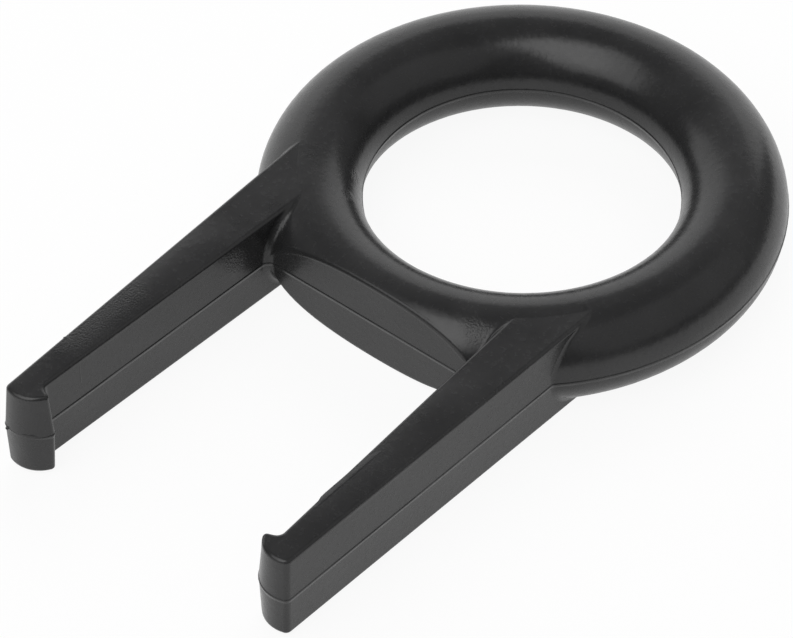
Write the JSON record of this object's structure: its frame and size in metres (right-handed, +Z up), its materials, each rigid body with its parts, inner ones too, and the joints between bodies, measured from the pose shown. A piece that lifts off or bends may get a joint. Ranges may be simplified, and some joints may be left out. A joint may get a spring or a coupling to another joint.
{
  "type": "keycap puller",
  "caption": "Black moulded keycap puller: a round finger ring with parallel prongs whose inward hooks catch under a keycap's edges so it can be pulled off.",
  "frame": {"origin": "middle of the bottom of the bounding box, on the surface that the puller lies on", "axes": "+Y from the prongs' tips towards the finger ring, +Z up along the ring's axis, X across the prongs"},
  "size_m": [0.04, 0.0624, 0.0078],
  "materials": {
    "black_plastic": "semi-gloss black moulded plastic with a parting line at mid-height"
  },
  "bodies": {
    "root": {"puller_body": "black_plastic"}
  },
  "joints": []
}
